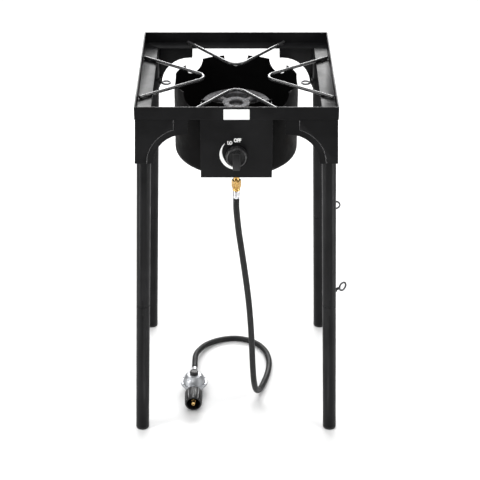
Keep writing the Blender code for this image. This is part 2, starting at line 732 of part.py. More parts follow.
def make_knob(axis):
    """A round skirt with a grip bar, on the valve's stem. The bar's upper end slopes down to a point."""
    back = KNOB_GAP
    skirt_front = back + 0.0145
    knob = turned("control_knob", [(0, skirt_front), (KNOB_RADIUS - 0.0035, skirt_front),
                                   (KNOB_RADIUS - 0.0010, skirt_front - 0.0015),
                                   (KNOB_RADIUS, skirt_front - 0.0045), (KNOB_RADIUS, back), (0, back)], 32)
    knob.parent = axis
    root = skirt_front - 0.002
    corners = [(0, GRIP_TIP, root)]
    for side in (-1, 1):
        corners += [(side * GRIP_HALF_WIDTH, -GRIP_HALF_LENGTH, root),
                    (side * GRIP_HALF_WIDTH, GRIP_SHOULDER, root),
                    (side * GRIP_FRONT_HALF_WIDTH, 0.001 - GRIP_HALF_LENGTH, GRIP_FRONT),
                    (side * GRIP_FRONT_HALF_WIDTH, GRIP_HALF_LENGTH, GRIP_FRONT)]
    join(knob, hull("knob_grip", corners))
    cut(knob, cylinder("knob_bore", 0.0031, (0, 0, back - 0.01), (0, 0, KNOB_GAP + 0.0123), 12))
    finish(knob, BLACK_PLASTIC, axis)


# ---------------------------------------------------------------- gas inlet and hose
def make_inlet():
    """The flare fitting below the valve, the swivel nut on it, and the hose's top ferrule."""
    axis = empty("inlet_axis", (0, -PANEL_FACE + INLET_BEHIND_PANEL, STAND_HEIGHT))
    fitting = turned("inlet_fitting", [(0, -0.1433), (0.0085, -0.1433), (0.0085, -0.1530), (0.0060, -0.1545),
                                       (0.0060, -0.1790), (0.0035, -0.1825), (0, -0.1825)], 16)
    finish(fitting, BRASS, axis)
    nut = turned("hose_swivel_nut", [(0, -0.1675), (0.0082, -0.1675), (0.0098, -0.1700), (0.0098, -0.1850),
                                     (0.0080, -0.1920), (0, -0.1920)], 6)
    nut.parent = axis
    cut(nut, cylinder("swivel_nut_bore", 0.0063, (0, 0, -0.160), (0, 0, -0.1830), 16))
    finish(nut, BRASS, axis)
    ferrule = turned("hose_ferrule_top", [(0, -0.1923), (0.0060, -0.1923), (0.0066, -0.1935),
                                          (0.0066, -0.2080), (0.0060, -0.2092), (0, -0.2092)], 16)
    finish(ferrule, STEEL, axis)


def smooth_route(points, step):
    """Points at an even step along a smooth curve through the route's own points."""
    points = [Vector(p) for p in points]
    points = [2 * points[0] - points[1]] + points + [2 * points[-1] - points[-2]]
    fine = []
    for before, here, ahead, after in zip(points, points[1:], points[2:], points[3:]):
        for i in range(20):
            t = i / 20
            fine.append(0.5 * ((2 * here) + (ahead - before) * t
                               + (2 * before - 5 * here + 4 * ahead - after) * t * t
                               + (3 * here - before - 3 * ahead + after) * t ** 3))
    fine.append(points[-2])
    length = sum((b - a).length for a, b in zip(fine, fine[1:]))
    count = round(length / step)
    even, travelled, wanted = [fine[0]], 0.0, length / count
    for a, b in zip(fine, fine[1:]):
        span = (b - a).length
        while travelled + span >= wanted and len(even) < count:
            even.append(a.lerp(b, (wanted - travelled) / span))
            wanted += length / count
        travelled += span
    even.append(fine[-1])
    return even


def make_hose():
    finish(rod("gas_hose", smooth_route(HOSE_ROUTE, HOSE_STEP), HOSE_RADIUS, 3), HOSE_RUBBER)


def make_regulator():
    """The hose's far end: ferrule, regulator, nipple and the cylinder nut, in line towards the front."""
    end = Vector(HOSE_ROUTE[-1])
    axis = empty("regulator_axis", end, (math.pi / 2, 0, 0))
    ferrule = turned("hose_ferrule_end", [(0, 0.0173), (0.0060, 0.0173), (0.0066, 0.0161), (0.0066, 0.0015),
                                          (0.0060, GAP), (0, GAP)], 16)
    finish(ferrule, STEEL, axis)

    middle = 0.0560
    body = turned("regulator_body", [(0, 0.0230), (0.0150, 0.0230), (0.0240, 0.0140), (0.0250, 0.0030),
                                     (0.0300, 0.0025), (0.0300, -0.0025), (0.0250, -0.0030),
                                     (0.0230, -0.0130), (0.0180, -0.0155), (0, -0.0155)], 28)
    body.rotation_euler.x = -math.pi / 2
    body.location.z = middle
    body.parent = axis
    join(body, cylinder("regulator_outlet", 0.0085, (0, 0, 0.0176), (0, 0, middle - 0.015), 16))
    join(body, cylinder("regulator_inlet", 0.0090, (0, 0, middle + 0.015), (0, 0, 0.0950), 16))
    finish(body, DIE_CAST, axis)

    cap = turned("regulator_cap", [(0, 0.0310), (0.0080, 0.0310), (0.0095, 0.0290), (0.0095, 0.0233),
                                   (0, 0.0233)], 16)
    cap.rotation_euler.x = -math.pi / 2
    cap.location.z = middle
    finish(cap, BLACK_PLASTIC, axis)

    nipple = turned("cylinder_nipple", [(0, 0.1420), (0.0030, 0.1420), (0.0055, 0.1380), (0.0055, 0.1120),
                                        (0.0085, 0.1110), (0.0085, 0.1055), (0.0060, 0.1050),
                                        (0.0060, 0.0953), (0, 0.0953)], 16)
    finish(nipple, BRASS, axis)
    nut = turned("cylinder_nut", [(0.0175, 0.1400), (0.0190, 0.1380), (0.0200, 0.1180), (0.0200, 0.1010),
                                  (0.0180, 0.0990), (0.0064, 0.0990), (0.0064, 0.1035), (0.0150, 0.1045),
                                  (0.0150, 0.1400)], 24)
    finish(nut, BLACK_PLASTIC, axis)


# ---------------------------------------------------------------- the whole stand
def corner_frames():
    corners = {}
    for name, turn in CORNERS:
        place = Matrix.Rotation(math.radians(turn), 4, "Z") @ Vector((LEG_AXIS, LEG_AXIS, FLANGE_UNDERSIDE))
        corners[name] = empty(f"corner_{name}", place, (0, 0, math.radians(turn)))
    return corners


def centre_stand():
    """Move every piece together, so that the whole stand is centred over the origin."""
    origin = empty("frame_centre", (FRAME_CENTRE_X, 0, 0))
    for obj in list(PARTS.objects) + list(CUTTERS.objects):
        if obj.parent is None and obj is not origin:
            obj.parent = origin


def main():
    make_rails()
    make_pot_supports()
    corners = corner_frames()
    make_brackets(corners)
    make_straps(corners)
    make_upper_legs(corners)
    make_lower_legs(corners)
    make_eye_screws()
    make_wind_guard()
    make_burner()
    make_control_box()
    valve_axis = empty("valve_axis", (0, -PANEL_FACE, VALVE_HEIGHT), (math.pi / 2, 0, 0))
    make_valve(valve_axis)
    make_air_shutter(valve_axis)
    make_knob(valve_axis)
    make_inlet()
    make_hose()
    make_regulator()
    centre_stand()


main()
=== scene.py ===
"""Looks, light and camera for the propane burner stand.

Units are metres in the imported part's own frame: +Z is up and the front is -Y. The square frame's centre
stands a little to the left of the origin, at FRAME_CENTRE_X.
"""

import json
import math

import bmesh
import bpy
from mathutils import Matrix, Vector


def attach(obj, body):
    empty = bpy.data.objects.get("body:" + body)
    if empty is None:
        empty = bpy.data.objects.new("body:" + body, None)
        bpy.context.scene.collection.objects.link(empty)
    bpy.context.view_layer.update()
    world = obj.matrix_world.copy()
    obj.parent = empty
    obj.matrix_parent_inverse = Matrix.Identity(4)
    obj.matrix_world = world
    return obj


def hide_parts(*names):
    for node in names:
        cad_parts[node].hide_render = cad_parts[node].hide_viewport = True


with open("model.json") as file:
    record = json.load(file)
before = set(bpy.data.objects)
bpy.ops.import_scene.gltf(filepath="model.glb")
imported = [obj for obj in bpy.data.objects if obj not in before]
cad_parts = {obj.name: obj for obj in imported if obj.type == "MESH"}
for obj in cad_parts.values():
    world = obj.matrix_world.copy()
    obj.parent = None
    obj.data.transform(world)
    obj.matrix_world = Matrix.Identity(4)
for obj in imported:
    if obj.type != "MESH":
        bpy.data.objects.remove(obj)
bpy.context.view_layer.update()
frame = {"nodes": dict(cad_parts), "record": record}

# ---------------------------------------------------------------- sizes that the part sets
FRAME_CENTRE_X = -0.012
STAND_HEIGHT = 0.765
FRAME_HALF = 0.200
APRON_HEIGHT = 0.027
FLANGE_TOP = STAND_HEIGHT - APRON_HEIGHT + 0.0025
ROD_RADIUS = 0.0035
ROD_HEIGHT = FLANGE_TOP + ROD_RADIUS + 0.0003
LEG_AXIS = 0.1818
SPLAY = 0.0325
TUBE_RADIUS = 0.0143
SHEET = 0.0015
SEAM_DEPTH = 0.455
PANEL_FACE = 0.198
VALVE_HEIGHT = 0.662
HOSE_RADIUS = 0.0066
BURNER_TOP = 0.687
BURNER_BOTTOM = 0.6743
GUARD_RADIUS = 0.129
GUARD_RIM = 0.7405

CORNERS = (("rear_right", 0), ("rear_left", 90), ("front_left", 180), ("front_right", 270))
SIDES = ("front", "right", "back", "left")

CENTRE = Matrix.Translation((FRAME_CENTRE_X, 0, 0))
# The valve's frame: its origin is on the knob's axis at the panel's face, +Z to the front and +Y up.
VALVE = CENTRE @ Matrix.Translation((0, -PANEL_FACE, VALVE_HEIGHT)) @ Matrix.Rotation(math.pi / 2, 4, "X")
INLET = CENTRE @ Matrix.Translation((0, -0.180, STAND_HEIGHT))

# The hose's route, point for point as the part has it, before the frame is centred.
HOSE_ROUTE = (
    (0.0000, -0.1800, 0.5555), (0.0003, -0.1800, 0.5280), (0.0050, -0.1797, 0.4780),
    (0.0125, -0.1790, 0.4220), (0.0205, -0.1772, 0.3600), (0.0270, -0.1742, 0.3000),
    (0.0315, -0.1700, 0.2400), (0.0345, -0.1640, 0.1800), (0.0370, -0.1540, 0.1200),
    (0.0405, -0.1370, 0.0680), (0.0465, -0.1110, 0.0300), (0.0555, -0.0790, 0.0110),
    (0.0660, -0.0430, 0.0070), (0.0755, -0.0010, 0.0070), (0.0780, 0.0420, 0.0070),
    (0.0680, 0.0850, 0.0070), (0.0420, 0.1190, 0.0070), (0.0030, 0.1340, 0.0070),
    (-0.0380, 0.1270, 0.0072), (-0.0710, 0.1020, 0.0095), (-0.0890, 0.0660, 0.0150),
    (-0.0945, 0.0380, 0.0196), (-0.0950, 0.0180, 0.0210), (-0.0950, -0.0120, 0.0210),
)
REGULATOR = CENTRE @ Matrix.Translation(HOSE_ROUTE[-1]) @ Matrix.Rotation(math.pi / 2, 4, "X")


# ---------------------------------------------------------------- materials
class Shader:
    """A Principled material whose colour, roughness and bump come from noise in object space."""

    def __init__(self, name, metallic=0.0, specular=0.5, coat=0.0, coat_roughness=0.2):
        self.material = bpy.data.materials.new(name)
        self.material.use_nodes = True
        self.tree = self.material.node_tree
        self.principled = self.tree.nodes["Principled BSDF"]
        self.principled.inputs["Metallic"].default_value = metallic
        self.principled.inputs["Specular IOR Level"].default_value = specular
        self.principled.inputs["Coat Weight"].default_value = coat
        self.principled.inputs["Coat Roughness"].default_value = coat_roughness
        self.place = self.tree.nodes.new("ShaderNodeTexCoord").outputs["Object"]

    def node(self, kind, **settings):
        node = self.tree.nodes.new(kind)
        for name, value in settings.items():
            setattr(node, name, value)
        return node

    def link(self, source, target):
        self.tree.links.new(source, target)

    def noise(self, scale, detail=3.0, distortion=0.0, stretch=None):
        noise = self.node("ShaderNodeTexNoise")
        noise.inputs["Scale"].default_value = scale
        noise.inputs["Detail"].default_value = detail
        noise.inputs["Distortion"].default_value = distortion
        if stretch is None:
            self.link(self.place, noise.inputs["Vector"])
        else:
            mapping = self.node("ShaderNodeMapping")
            mapping.inputs["Scale"].default_value = stretch
            self.link(self.place, mapping.inputs["Vector"])
            self.link(mapping.outputs["Vector"], noise.inputs["Vector"])
        return noise.outputs["Fac"]

    def ramp(self, source, stops):
        ramp = self.node("ShaderNodeValToRGB")
        elements = ramp.color_ramp.elements
        while len(elements) < len(stops):
            elements.new(0.5)
        for element, (position, colour) in zip(elements, stops):
            element.position = position
            element.color = (*colour, 1.0)
        self.link(source, ramp.inputs["Fac"])
        return ramp.outputs["Color"]

    def colour(self, source, stops):
        self.link(self.ramp(source, stops), self.principled.inputs["Base Color"])

    def roughness(self, source, low, high):
        spread = self.node("ShaderNodeMapRange")
        spread.inputs["From Min"].default_value = 0.3
        spread.inputs["From Max"].default_value = 0.7
        spread.inputs["To Min"].default_value = low
        spread.inputs["To Max"].default_value = high
        self.link(source, spread.inputs["Value"])
        self.link(spread.outputs["Result"], self.principled.inputs["Roughness"])

    def bump(self, *layers):
        """Each layer is a height source and its depth in metres."""
        previous = None
        for source, depth in layers:
            bump = self.node("ShaderNodeBump")
            bump.inputs["Distance"].default_value = depth
            self.link(source, bump.inputs["Height"])
            if previous is not None:
                self.link(previous, bump.inputs["Normal"])
            previous = bump.outputs["Normal"]
        self.link(previous, self.principled.inputs["Normal"])


def powder_coat():
    """Semi-gloss black powder coat: a fine orange-peel skin with faint smears of handling."""
    s = Shader("black_powder_coat", specular=0.11)
    smear = s.noise(14, 4, 0.4)
    s.colour(smear, ((0.35, (0.0042, 0.0042, 0.0045)), (0.70, (0.0085, 0.0085, 0.0090))))
    s.roughness(s.noise(45, 3), 0.30, 0.44)
    s.bump((s.noise(900, 2), 0.00010), (s.noise(260, 2), 0.00012))
    return s.material


def rod_enamel():
    """Gloss enamel on drawn wire, with faint drawing lines under it."""
    s = Shader("black_rod_enamel", specular=0.5, coat=0.35, coat_roughness=0.12)
    s.colour(s.noise(30, 4), ((0.35, (0.014, 0.014, 0.015)), (0.70, (0.028, 0.028, 0.029))))
    s.roughness(s.noise(120, 3), 0.22, 0.32)
    s.bump((s.noise(240, 2), 0.00003))
    return s.material


def guard_enamel():
    """Matt heat-resisting black, browned in soft clouds where it has been hot."""
    s = Shader("matt_black_enamel", specular=0.03)
    s.colour(s.noise(9, 5, 0.6), ((0.30, (0.0016, 0.0016, 0.0017)), (0.62, (0.0030, 0.0028, 0.0028)),
                                  (0.85, (0.0070, 0.0058, 0.0050))))
    s.roughness(s.noise(60, 3), 0.46, 0.62)
    s.bump((s.noise(1100, 2), 0.00010), (s.noise(90, 3), 0.00015))
    return s.material


def cast_iron():
    """Sand-cast iron: a pitted grey skin with a little rust in the pits."""
    s = Shader("cast_iron", metallic=0.55, specular=0.4)
    s.colour(s.noise(160, 6, 0.3), ((0.30, (0.050, 0.036, 0.028)), (0.45, (0.060, 0.060, 0.064)),
                                    (0.75, (0.115, 0.115, 0.120))))
    s.roughness(s.noise(220, 4), 0.50, 0.78)
    s.bump((s.noise(650, 4), 0.00045), (s.noise(150, 3), 0.00050))
    return s.material


def machined_brass():
    s = Shader("brass", metallic=1.0)
    s.colour(s.noise(70, 4), ((0.30, (0.42, 0.24, 0.07)), (0.60, (0.64, 0.41, 0.15)),
                              (0.85, (0.74, 0.52, 0.24))))
    s.roughness(s.noise(240, 3), 0.18, 0.36)
    s.bump((s.noise(900, 2, stretch=(1, 1, 8)), 0.00006))
    return s.material


def zinc_plate():
    s = Shader("zinc_plated_steel", metallic=1.0)
    s.colour(s.noise(90, 4), ((0.30, (0.46, 0.46, 0.48)), (0.55, (0.66, 0.66, 0.67)),
                              (0.80, (0.74, 0.73, 0.69))))
    s.roughness(s.noise(300, 3), 0.22, 0.40)
    s.bump((s.noise(800, 3), 0.00005))
    return s.material


def dark_plate():
    """Dark plated wire: steel with a smoked bright finish, worn lighter in places."""
    s = Shader("dark_plated_steel", metallic=1.0)
    s.colour(s.noise(110, 4), ((0.30, (0.050, 0.050, 0.053)), (0.60, (0.105, 0.105, 0.110)),
                               (0.88, (0.240, 0.235, 0.225))))
    s.roughness(s.noise(300, 3), 0.24, 0.42)
    s.bump((s.noise(800, 3), 0.00005))
    return s.material


def die_cast():
    s = Shader("die_cast_zinc", metallic=0.9)
    s.colour(s.noise(60, 5), ((0.30, (0.30, 0.31, 0.32)), (0.75, (0.45, 0.46, 0.48))))
    s.roughness(s.noise(180, 4), 0.36, 0.55)
    s.bump((s.noise(700, 3), 0.00016))
    return s.material


def black_plastic():
    """Moulded black plastic with a fine spark-eroded grain."""
    s = Shader("black_plastic", specular=0.38)
    s.colour(s.noise(40, 3), ((0.35, (0.0050, 0.0050, 0.0054)), (0.70, (0.0090, 0.0090, 0.0096))))
    s.roughness(s.noise(200, 3), 0.30, 0.44)
    s.bump((s.noise(1600, 2), 0.00009))
    return s.material


def hose_rubber():
    """Extruded black hose with a faint dusty bloom and fine wrap marks."""
    s = Shader("black_rubber", specular=0.22)
    s.colour(s.noise(35, 5, 0.5), ((0.35, (0.0040, 0.0040, 0.0042)), (0.65, (0.0075, 0.0075, 0.0075)),
                                   (0.90, (0.0150, 0.0147, 0.0142))))
    s.roughness(s.noise(90, 3), 0.42, 0.60)
    s.bump((s.noise(1200, 3), 0.00012), (s.noise(300, 2), 0.00010))
    return s.material


def white_print():
    """Screen-printed white ink, a little uneven."""
    s = Shader("white_print", specular=0.35)
    s.colour(s.noise(260, 4), ((0.30, (0.84, 0.84, 0.83)), (0.70, (0.92, 0.92, 0.91))))
    s.roughness(s.noise(300, 3), 0.42, 0.56)
    s.bump((s.noise(1500, 2), 0.00004))
    return s.material


def label_paper():
    """A blank white satin label."""
    s = Shader("blank_label", specular=0.4, coat=0.3, coat_roughness=0.3)
    s.colour(s.noise(50, 3), ((0.35, (0.80, 0.80, 0.80)), (0.70, (0.88, 0.88, 0.88))))
    s.roughness(s.noise(120, 3), 0.32, 0.42)
    s.bump((s.noise(400, 2), 0.00003))
    return s.material


def weld_metal():
    """Painted weld: the frame's black over coarse ripples."""
    s = Shader("painted_weld", specular=0.3)
    s.colour(s.noise(200, 4), ((0.35, (0.0070, 0.0070, 0.0075)), (0.75, (0.0180, 0.0175, 0.0170))))
    s.roughness(s.noise(260, 3), 0.30, 0.50)
    s.bump((s.noise(500, 3), 0.00030))
    return s.material


MATERIALS = {
    "frame_paint": powder_coat(),
    "rod_enamel": rod_enamel(),
    "guard_enamel": guard_enamel(),
    "cast_iron": cast_iron(),
    "brass": machined_brass(),
    "zinc_steel": zinc_plate(),
    "black_plastic": black_plastic(),
    "hose_rubber": hose_rubber(),
    "die_cast_zinc": die_cast(),
}
WHITE_PRINT = white_print()
BLANK_LABEL = label_paper()
WELD = weld_metal()
DARK_PLATE = dark_plate()

SLOT_OF = {row["node"]: row["material_slot"] for row in frame["record"]["subparts"]}
BODY_OF = {node: body for body, nodes in frame["record"]["behaviour"]["bodies"].items() for node in nodes}

for node_name, node_object in frame["nodes"].items():
    node_object.data.materials.clear()
    node_object.data.materials.append(MATERIALS[SLOT_OF[node_name]])


# ---------------------------------------------------------------- mesh helpers
def lathe(profile, sides=48):
    """A bmesh turned about Z. The profile is (radius, height) pairs that run down the outer side."""
    work = bmesh.new()
    verts = [work.verts.new((radius, 0, height)) for radius, height in profile]
    edges = [work.edges.new(pair) for pair in zip(verts, verts[1:])]
    if profile[0][0] > 0 or profile[-1][0] > 0:
        edges.append(work.edges.new((verts[-1], verts[0])))
    bmesh.ops.spin(work, geom=verts + edges, cent=(0, 0, 0), axis=(0, 0, 1), angle=math.tau, steps=sides,
                   use_merge=True)
    bmesh.ops.remove_doubles(work, verts=work.verts, dist=1e-6)
    bmesh.ops.recalc_face_normals(work, faces=work.faces)
    return work


def prism(outline, low, high):
    """A bmesh of a flat outline in X and Y, from one height to another."""
    work = bmesh.new()
    face = work.faces.new([work.verts.new((x, y, low)) for x, y in outline])
    grown = bmesh.ops.extrude_face_region(work, geom=[face])
    verts = [v for v in grown["geom"] if isinstance(v, bmesh.types.BMVert)]
    bmesh.ops.translate(work, vec=(0, 0, high - low), verts=verts)
    bmesh.ops.recalc_face_normals(work, faces=work.faces)
    return work


def tube(radius, low, high, sides=16):
    return lathe([(0, high), (radius, high), (radius, low), (0, low)], sides)


def moved(work, matrix):
    bmesh.ops.transform(work, matrix=matrix, verts=work.verts)
    return work


def gathered(works):
    """One bmesh that holds several."""
    whole = bmesh.new()
    for work in works:
        mesh = bpy.data.meshes.new("part")
        work.to_mesh(mesh)
        work.free()
        whole.from_mesh(mesh)
        bpy.data.meshes.remove(mesh)
    return whole


def as_mesh(name, work, angle=35):
    mesh = bpy.data.meshes.new(name)
    work.to_mesh(mesh)
    work.free()
    mesh.shade_smooth()
    mesh.set_sharp_from_angle(angle=math.radians(angle))
    return mesh


def boolean(base, tool, operation="DIFFERENCE"):
    """The bmesh of base with tool cut from it or joined to it."""
    objects = []
    for work in (base, tool):
        mesh = bpy.data.meshes.new("boolean")
        work.to_mesh(mesh)
        work.free()
        obj = bpy.data.objects.new("boolean", mesh)
        bpy.context.scene.collection.objects.link(obj)
        objects.append(obj)
    modifier = objects[0].modifiers.new("boolean", "BOOLEAN")
    modifier.operation = operation
    modifier.solver = "EXACT"
    modifier.object = objects[1]
    result = bmesh.new()
    result.from_object(objects[0], bpy.context.evaluated_depsgraph_get())
    for obj in objects:
        bpy.data.objects.remove(obj, do_unlink=True)
    return result


def arc(centre, radius, start, end, steps):
    for i in range(steps + 1):
        angle = math.radians(start + (end - start) * i / steps)
        yield (centre[0] + radius * math.cos(angle), centre[1] + radius * math.sin(angle))


def piece(name, mesh, body, material, replaces=()):
    """Show a mesh as a piece of the stand that rides on a body."""
    obj = bpy.data.objects.new(name, mesh)
    bpy.context.scene.collection.objects.link(obj)
    mesh.materials.clear()
    mesh.materials.append(material)
    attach(obj, body)
    if replaces:
        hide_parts(*replaces)
    return obj


def stand_in(name, work, *nodes, angle=35, material=None):
    """Show a detailed bmesh in place of CAD nodes, on their body, in the finish of their slot or in its own.
    """
    slot = SLOT_OF[nodes[0]]
    mesh = as_mesh(name, work, angle)
    return piece(name, mesh, BODY_OF[nodes[0]], material or MATERIALS[slot], nodes)


def bevelled(obj, width, segments=2, angle=32):
    bevel = obj.modifiers.new("rounded_edges", "BEVEL")
    bevel.width = width
    bevel.segments = segments
    bevel.limit_method = "ANGLE"
    bevel.angle_limit = math.radians(angle)
    bevel.harden_normals = True
    return obj


def rounded_copy(node, width):
    """A copy of a CAD node whose flat faces are whole again and whose edges are rounded."""
    work = bmesh.new()
    work.from_mesh(frame["nodes"][node].data)
    bmesh.ops.remove_doubles(work, verts=work.verts, dist=2e-5)
    bmesh.ops.dissolve_limit(work, angle_limit=math.radians(1.5), verts=work.verts, edges=work.edges)
    bmesh.ops.recalc_face_normals(work, faces=work.faces)
    return bevelled(stand_in(f"{node}_rounded", work, node), width)


# ---------------------------------------------------------------- camera, light and floor
def make_camera():
    camera = bpy.data.cameras.new("camera")
    camera.sensor_width = 36.0
    camera.lens = 106.3
    camera.shift_x = 0.0167
    obj = bpy.data.objects.new("camera", camera)
    obj.location = (FRAME_CENTRE_X - 0.0088, -2.7236, 1.8973)
    obj.rotation_euler = (math.radians(90 - 29.517), 0, 0)
    bpy.context.scene.collection.objects.link(obj)
    bpy.context.scene.camera = obj


def area_light(name, place, aim, size, power):
    light = bpy.data.lights.new(name, "AREA")
    light.shape = "RECTANGLE"
    light.size, light.size_y = size
    light.energy = power
    obj = bpy.data.objects.new(name, light)
    obj.location = place
    obj.rotation_euler = (Vector(aim) - Vector(place)).to_track_quat("-Z", "Y").to_euler()
    obj.visible_camera = False
    bpy.context.scene.collection.objects.link(obj)


def make_world():
    """A white surround: full white to the camera, softer as a light, and dimmer in reflections."""
    world = bpy.data.worlds.new("studio")
    world.use_nodes = True
    tree = world.node_tree
    background = tree.nodes["Background"]
    background.inputs["Color"].default_value = (1, 1, 1, 1)
    path = tree.nodes.new("ShaderNodeLightPath")
    strength = tree.nodes.new("ShaderNodeMapRange")
    strength.inputs["To Min"].default_value = 0.32
    strength.inputs["To Max"].default_value = 1.0
    tree.links.new(path.outputs["Is Camera Ray"], strength.inputs["Value"])
    dimmed = tree.nodes.new("ShaderNodeMath")
    dimmed.operation = "MULTIPLY_ADD"
    dimmed.inputs[1].default_value = -0.12
    tree.links.new(path.outputs["Is Glossy Ray"], dimmed.inputs[0])
    tree.links.new(strength.outputs["Result"], dimmed.inputs[2])
    tree.links.new(dimmed.outputs["Value"], background.inputs["Strength"])
    bpy.context.scene.world = world


def make_studio():
    bpy.context.scene.view_settings.view_transform = "Standard"
    make_world()
    area_light("top_softbox", (0.0, 0.3, 2.6), (0, 0, 0.5), (2.4, 2.0), 44)
    area_light("key_softbox", (-0.9, -2.6, 2.6), (0, 0, 0.6), (1.4, 1.0), 34)
    area_light("left_softbox", (-2.2, -0.6, 1.3), (0, 0, 0.5), (0.5, 1.9), 14)
    area_light("right_softbox", (2.3, -0.4, 1.2), (0, 0, 0.5), (0.5, 1.9), 11)
    for side in (-1, 1):
        strip = Vector((side * 0.80, -0.50, 0.55))
        area_light(f"leg_strip_{side}", strip, (side * 0.2, -0.2, 0.55), (0.09, 1.05), 5)
        card = Vector((side * 0.13, -0.75, 0.01))
        area_light(f"leg_card_{side}", card, (side * 0.13, -0.75, 1.0), (0.05, 0.9), 0.9)
    area_light("back_softbox", (0.0, 2.5, 2.05), (0, 0, 0.7), (2.6, 1.0), 125)

    work = bmesh.new()
    bmesh.ops.create_grid(work, x_segments=2, y_segments=2, size=12)
    mesh = as_mesh("floor", work)
    floor = bpy.data.objects.new("floor", mesh)
    bpy.context.scene.collection.objects.link(floor)
    s = Shader("pale_floor", specular=0.2)
    s.colour(s.noise(3, 2), ((0.3, (0.64, 0.64, 0.64)), (0.7, (0.66, 0.66, 0.66))))
    s.roughness(s.noise(8, 2), 0.65, 0.75)
    mesh.materials.append(s.material)


make_camera()
make_studio()


# ---------------------------------------------------------------- hose and its pieces
def smooth_route(points, step):
    """Points at an even step along a smooth curve through the route's own points."""
    points = [Vector(p) for p in points]
    points = [2 * points[0] - points[1]] + points + [2 * points[-1] - points[-2]]
    fine = []
    for before, here, ahead, after in zip(points, points[1:], points[2:], points[3:]):
        for i in range(20):
            t = i / 20
            fine.append(0.5 * ((2 * here) + (ahead - before) * t
                               + (2 * before - 5 * here + 4 * ahead - after) * t * t
                               + (3 * here - before - 3 * ahead + after) * t ** 3))
    fine.append(points[-2])
    length = sum((b - a).length for a, b in zip(fine, fine[1:]))
    count = round(length / step)
    even, travelled, wanted = [fine[0]], 0.0, length / count
    for a, b in zip(fine, fine[1:]):
        span = (b - a).length
        while travelled + span >= wanted and len(even) < count:
            even.append(a.lerp(b, (wanted - travelled) / span))
            wanted += length / count
        travelled += span
    even.append(fine[-1])
    return even


def make_hose():
    route = [CENTRE @ p for p in smooth_route(HOSE_ROUTE, 0.009)]
    length = sum((b - a).length for a, b in zip(route, route[1:]))
    curve = bpy.data.curves.new("rubber_hose", "CURVE")
    curve.dimensions = "3D"
    curve.bevel_depth = HOSE_RADIUS
    curve.bevel_resolution = 6
    curve.use_fill_caps = True
    spline = curve.splines.new("POLY")
    spline.points.add(len(route) - 1)
    for point, place in zip(spline.points, route):
        point.co = (*place, 1)
    spline.use_smooth = True
    curve.materials.append(MATERIALS["hose_rubber"])
    hose = bpy.data.objects.new("rubber_hose", curve)
    bpy.context.scene.collection.objects.link(hose)
    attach(hose, "stand")
    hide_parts("gas_hose")
    return hose, route[0], length


def crimp(ends):
    """A crimped ferrule: a thin sleeve with five pressed rings. The ends are heights along its axis."""
    high, low = ends
    radius, inner = 0.0066, 0.0060
    profile = [(0, high), (inner, high), (radius, high - 0.0012)]
    length = high - low
    start, pitch = high - 0.0030, (length - 0.0060) / 5
    for i in range(5):
        middle = start - pitch * (i + 0.5)
        profile += [(radius, middle + pitch * 0.30), (radius - 0.0005, middle + pitch * 0.16),
                    (radius - 0.0005, middle - pitch * 0.16), (radius, middle - pitch * 0.30)]
    profile += [(radius, low + 0.0012), (inner, low), (0, low)]
    return lathe(profile, 48)


# ---------------------------------------------------------------- frame, brackets and other sheet metal
def make_sheet_metal():
    for side in SIDES:
        rounded_copy(f"{side}_rail", 0.0006)
    for name, _ in CORNERS:
        rounded_copy(f"leg_bracket_{name}", 0.0007)
        rounded_copy(f"leg_socket_strap_{name}", 0.0003)
    rounded_copy("control_box", 0.0004)
    rounded_copy("burner_support_bar", 0.0006)
    rounded_copy("burner_bolt", 0.0004)
    rounded_copy("air_shutter", 0.0003)


def corner_place(turn):
    """From a corner's own frame, which starts on the leg's axis under the flange, to the stand's."""
    lean = Matrix.Identity(4)
    lean[0][2] = -SPLAY
    lean[1][2] = -SPLAY
    under_flange = Matrix.Translation((LEG_AXIS, LEG_AXIS, STAND_HEIGHT - APRON_HEIGHT))
    return CENTRE @ Matrix.Rotation(math.radians(turn), 4, "Z") @ under_flange @ lean


def along(direction, start):
    """A matrix that lays local +Z along a direction, from a start point."""
    turn = Vector(direction).to_track_quat("Z", "Y").to_matrix().to_4x4()
    return Matrix.Translation(start) @ turn


# ---------------------------------------------------------------- legs and their screws
TUBE_WALL = 0.0012
NECK_RADIUS = 0.0128
NECK_TOP_DEPTH = 0.395
FOOT_HEIGHT = 0.005
LEG_SCREW_DEPTH = 0.426
SOCKET_SCREW_DEPTH = 0.113
SOCKET_SCREW_HEADING = {"rear_right": 180, "rear_left": 0, "front_left": 90, "front_right": 90}
LEG_SCREW_HEADING = {"rear_right": 0, "rear_left": 90, "front_left": 90, "front_right": 40}


def heading_in_corner(heading, turn):
    angle = math.radians(heading - turn)
    return Vector((math.cos(angle), math.sin(angle), 0))


def dimple(height, heading):
    """A shallow pressed mark in a tube's wall, as a ball that cuts 0.6 mm deep."""
    work = bmesh.new()
    bmesh.ops.create_uvsphere(work, u_segments=20, v_segments=12, radius=0.0045)
    return moved(work, Matrix.Translation(heading * (TUBE_RADIUS + 0.0039) + Vector((0, 0, height))))


